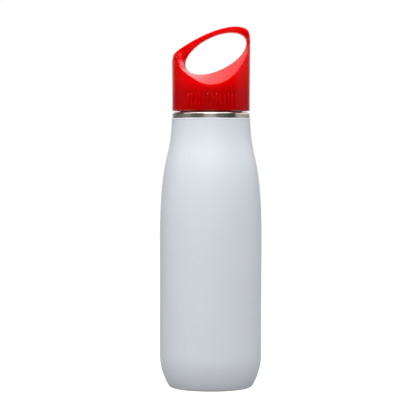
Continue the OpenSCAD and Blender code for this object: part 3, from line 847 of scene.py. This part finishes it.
class BOTTLE_OT_cap_shell(Operator):
    """Red moulding of the cap: round wall, scoops, carry loop, lower edge, pocket and grip ribs"""

    bl_idname = "bottle.cap_shell"
    bl_label = "Cap and carry loop"

    # columns over the loop and over the lower edge, and rows on the land, the scoop's flank and the outer form
    OVER, UNDER = 300, 100
    LAND, FLANK, OUTER = 6, 26, 46
    SHARP = 50

    def execute(self, context):
        c = context.scene.cap_sizes
        form = CapForm(c)
        half, edge_r, edge_z = self.half(c, form)
        mirror = np.array([1, -1, 1])
        below = self.underside(c, form, np.vstack([half[self.OVER :, -1], half[:1, -1]]), edge_r, edge_z)
        patches = [(half, True, False), (half * mirror, True, False)]
        patches += [(below, False, False), (below * mirror, False, False)]
        red = cap_material(context.scene.bottle_finishes)
        cap = piece("cap_shell_finish", patches, "cap", red, ["cap_shell"], self.SHARP)
        joined(cap, self.ribs(c, form), self.SHARP)
        return {"FINISHED"}

    def half(self, c, form):
        """The front half of the moulding without its underside, and the radius and height of its lower edge.

        Each column is a half-plane, two of them through the ends of the lower edge's diameter. Rows cross the land,
        the scoop's flank up to its crest, then the outer form to the middle plane or the lower edge, fanned out from
        a core half the crest's depth inside it.
        """
        edge_z = form.low + c.bevel
        edge_r = form.wall(edge_z)
        right = math.atan2(edge_z - form.z, edge_r - form.x)
        left = math.atan2(edge_z - form.z, -edge_r - form.x) + 2 * np.pi
        over = np.linspace(right, left, self.OVER + 1)[:-1]
        under = np.linspace(left, right + 2 * np.pi, self.UNDER + 1)[:-1]
        turn = np.concatenate([over, under])[:, None]
        half_land = c.land / 2
        crest = form.halve(lambda y: form.outside(turn, form.scoop(turn, y), y) > 0, half_land, c.wall_r + c.bow)
        crest_reach = form.scoop(turn, crest)
        land_y = half_land * np.linspace(0, 1, self.LAND + 1)[None]
        land = form.point(turn, form.scoop(turn, land_y), land_y)
        flank_y = half_land + (crest - half_land) * eased(self.FLANK, True)[None, 1:]
        flank = form.point(turn, form.scoop(turn, flank_y), flank_y)
        core = crest_reach - crest / 2
        edge_reach = (edge_z - form.z) / np.minimum(np.sin(turn), -1e-9)
        edge_x = form.x + edge_reach * np.cos(turn)
        at_edge = (np.sin(turn) < 0) & (np.abs(edge_x) <= edge_r + 1e-9)
        edge_y = np.sqrt(np.maximum(edge_r**2 - edge_x**2, 0)) * at_edge
        start = np.arctan2(crest, crest_reach - core)
        end = np.arctan2(edge_y, edge_reach - core) * at_edge
        lean = start + (end - start) * eased(self.OUTER, False)[None, 1:]
        beyond = 90 * MM  # no part of the cap lies further out than this
        far = form.halve(lambda d: form.outside(turn, core + d * np.cos(lean), d * np.sin(lean)) > 0, 0, beyond)
        outer = form.point(turn, core + far * np.cos(lean), far * np.sin(lean))
        grid = rounded(np.concatenate([land, flank, outer], 1), self.LAND, c.land_edge)
        return rounded(grid, self.LAND + self.FLANK, c.scoop_edge), edge_r, edge_z

    @staticmethod
    def underside(c, form, rim, edge_r, edge_z):
        """The front half of the underside, from the lower edge in to the pocket for the insert and the foam."""
        pocket_r, foam_r = INSERT[1].x + c.snug, c.plug_r - c.plug_t - 1.3 * MM + c.snug
        deck, lid = INSERT[1].z, FOAM[1].z + c.snug
        corners = [
            (edge_r, edge_z, 0), (edge_r, form.low, c.bevel * 0.98), (pocket_r, form.low, 0.2 * MM),
            (pocket_r, deck, 0.3 * MM), (foam_r, deck, 0.2 * MM), (foam_r, lid, 0.3 * MM), (0, lid, 0),
        ]
        r, z = filleted(corners, 8).T
        x, y = rim[:, None, 0] * r / edge_r, rim[:, None, 1] * r / edge_r
        return np.stack(np.broadcast_arrays(x, y, z), -1)

    @staticmethod
    def ribs(c, form):
        """Grip ribs: upright pills sunk into the wall. A pill is a line with two quarter rounds, turned."""
        r = c.rib_w / 2
        low, high = form.low + c.rib_lift + r, form.low + c.rib_lift + c.rib_l - r
        pill = np.vstack([arc(0, low, r, -90, 0, 6), arc(0, high, r, 0, 90, 6)])
        shape = revolved(pill, 16)
        out = form.wall(form.low + c.rib_lift + c.rib_l / 2) + c.rib_proud - r
        places = (np.arange(c.rib_count) - (c.rib_count - 1) / 2) * c.rib_step
        return [
            (shape + np.array([out * math.cos(a), out * math.sin(a), 0]), True, False)
            for side in (-np.pi / 2, np.pi / 2)
            for a in side + places
        ]


# ---- the studio


class BOTTLE_OT_studio(Operator):
    """Pale floor, soft lights, white surroundings and the camera"""

    bl_idname = "bottle.studio"
    bl_label = "Studio"

    # turn from the front and rise in degrees, distance, two sizes, and whether glossy surfaces show the light
    LAMPS = {
        "key_light": (-4, 35, 1.3, 0.8, 0.55, True),
        "top_light": (0, 72, 1.05, 1.7, 1.1, True),
        "left_light": (-58, 50, 1.4, 0.9, 0.9, False),
        "right_light": (64, 52, 1.3, 0.7, 0.7, False),
        "left_side": (-78, 32, 1.3, 0.7, 0.7, True),
        "right_side": (110, 21, 1.3, 1.5, 0.4, True),
    }

    def execute(self, context):
        scene, p = context.scene, context.scene.bottle_studio
        self.floor(scene, p)
        self.surroundings(scene, p)
        for name, settings in self.LAMPS.items():
            self.lamp(name, getattr(p, name), *settings)
        camera = placed("camera", bpy.data.cameras.new("camera"))
        turned = Matrix.Rotation(p.camera_turn, 3, "Z")
        eye = turned @ Vector((0, -p.camera_distance, p.camera_height))
        self.aimed(camera, eye, turned @ Vector((p.aim_side, 0, p.aim_height)), p.camera_roll)
        camera.data.sensor_width, camera.data.lens = 36, p.lens
        camera.data.clip_start, camera.data.clip_end = 0.05, 50
        scene.camera = camera
        scene.view_settings.view_transform = "Standard"
        return {"FINISHED"}

    @staticmethod
    def aimed(made, eye, aim, roll=0.0):
        """Puts a camera or a light in one place and turns it to face another."""
        look = (aim - eye).to_track_quat("-Z", "Y")
        made.location, made.rotation_mode = eye, "QUATERNION"
        made.rotation_quaternion = look @ Matrix.Rotation(roll, 3, "Z").to_quaternion()

    def lamp(self, name, power, turn, rise, distance, width, depth, mirrored):
        """A soft rectangular light on the bottle's middle. One that isn't mirrored only fills shadows."""
        data = bpy.data.lights.new(name, "AREA")
        data.shape, data.size, data.size_y, data.energy = "RECTANGLE", width, depth, power
        made = placed(name, data)
        made.visible_glossy = mirrored
        rise, middle = math.radians(rise), Vector((0, 0, 0.12))
        offset = Vector((0, -math.cos(rise), math.sin(rise))) * distance
        self.aimed(made, middle + Matrix.Rotation(math.radians(turn), 3, "Z") @ offset, middle)

    @staticmethod
    def floor(scene, p):
        """A flat pale floor that shows white to the camera and still takes the bottle's soft shadow. To glossy rays it
        is painted dark, with a painted glow that rises from 0.4 m in front of the bottle to full strength under and
        behind
        it: a painted reflection of the floor.
        """
        side = 6.0
        mesh = bpy.data.meshes.new("floor")
        mesh.from_pydata([(-side, -side, 0), (side, -side, 0), (side, side, 0), (-side, side, 0)], [], [(0, 1, 2, 3)])
        made = bpy.data.materials.new("pale_floor")
        made.use_nodes = True
        tree = made.node_tree
        surface = tree.nodes["Principled BSDF"].inputs
        surface["Roughness"].default_value = 0.9
        surface["Specular IOR Level"].default_value = 0.1
        surface["Emission Color"].default_value = (1, 1, 1, 1)
        path = add(tree, "LightPath").outputs
        pale = (*scene.bottle_finishes.floor, 1)
        # painted shade for reflections: glossy rays see the floor dark, 0.08 in place of its pale colour
        painted_reflection_shade = add(tree, "Mix", path["Is Glossy Ray"], settings={"data_type": "RGBA"})
        painted_reflection_shade.inputs[6].default_value, painted_reflection_shade.inputs[7].default_value = pale, (0.08, 0.08, 0.08, 1)
        tree.links.new(painted_reflection_shade.outputs[2], surface["Base Color"])
        where = add(tree, "TexCoord").outputs["Object"]
        # painted glow, seen only by glossy rays: none 0.4 m in front of the bottle, full strength at its axis and
        # behind
        glow = ramp(tree, add(tree, "SeparateXYZ", where).outputs["Y"], -0.4, 0.0, 0.0, p.floor_painted_reflection)
        seen = maths(tree, "MULTIPLY_ADD", path["Is Glossy Ray"], glow, path["Is Camera Ray"])
        tree.links.new(seen, surface["Emission Strength"])
        mesh.materials.append(made)
        placed("floor", mesh)

    @staticmethod
    def surroundings(scene, p):
        """White to the camera, and otherwise a pale room, brighter behind the bottle than in front."""
        scene.world = bpy.data.worlds.new("pale_room")
        scene.world.use_nodes = True
        tree = scene.world.node_tree
        tree.nodes.clear()
        path = add(tree, "LightPath").outputs
        where = add(tree, "TexCoord").outputs["Generated"]
        split = add(tree, "SeparateXYZ", where).outputs
        high = maths(tree, "MULTIPLY_ADD", split["Z"], 0.5, split["Y"])
        room = ramp(tree, split["Y"], -0.25, 0.35, p.room_front, p.room_back)
        mirror = ramp(tree, high, 0.8, 1.05, 0.0, p.backdrop)
        white = (1, 1, 1, 1)
        lit = add(tree, "Background", (0.97, 0.985, 1, 1), room).outputs[0]
        mirrored = add(tree, "Background", white, mirror).outputs[0]
        seen = add(tree, "Background", white, 1.0).outputs[0]
        mix = add(tree, "MixShader", path["Is Glossy Ray"], lit, mirrored).outputs[0]
        mix = add(tree, "MixShader", path["Is Camera Ray"], mix, seen).outputs[0]
        tree.links.new(mix, add(tree, "OutputWorld").inputs["Surface"])


# ---- add-on


OPERATORS = [
    BOTTLE_OT_body_coat, BOTTLE_OT_outer_shell, BOTTLE_OT_inner_vessel, BOTTLE_OT_bottom, BOTTLE_OT_hidden_parts,
    BOTTLE_OT_seal_ring, BOTTLE_OT_cap_insert, BOTTLE_OT_cap_shell, BOTTLE_OT_studio,
]
SETTINGS = {"bottle_sizes": BottleSizes, "cap_sizes": CapSizes, "bottle_finishes": Finishes, "bottle_studio": Studio}


class BOTTLE_PT_sidebar(Panel):
    """Lists the bottle's pieces and their sizes"""

    bl_idname = "BOTTLE_PT_sidebar"
    bl_label = "Bottle"
    bl_space_type = "VIEW_3D"
    bl_region_type = "UI"
    bl_category = "Bottle"

    def draw(self, context):
        for operator in OPERATORS:
            self.layout.operator(operator.bl_idname)
        for name, group in SETTINGS.items():
            box = self.layout.box()
            box.label(text=group.__doc__)
            for key in group.__annotations__:
                box.prop(getattr(context.scene, name), key)


def register():
    for item in [*SETTINGS.values(), *OPERATORS, BOTTLE_PT_sidebar]:
        bpy.utils.register_class(item)
    for name, group in SETTINGS.items():
        setattr(bpy.types.Scene, name, PointerProperty(type=group))


def unregister():
    for name in SETTINGS:
        delattr(bpy.types.Scene, name)
    for item in reversed([*SETTINGS.values(), *OPERATORS, BOTTLE_PT_sidebar]):
        bpy.utils.unregister_class(item)


def main():
    register()
    for operator in OPERATORS:
        group, name = operator.bl_idname.split(".")
        getattr(getattr(bpy.ops, group), name)()


if __name__ == "__main__":
    main()
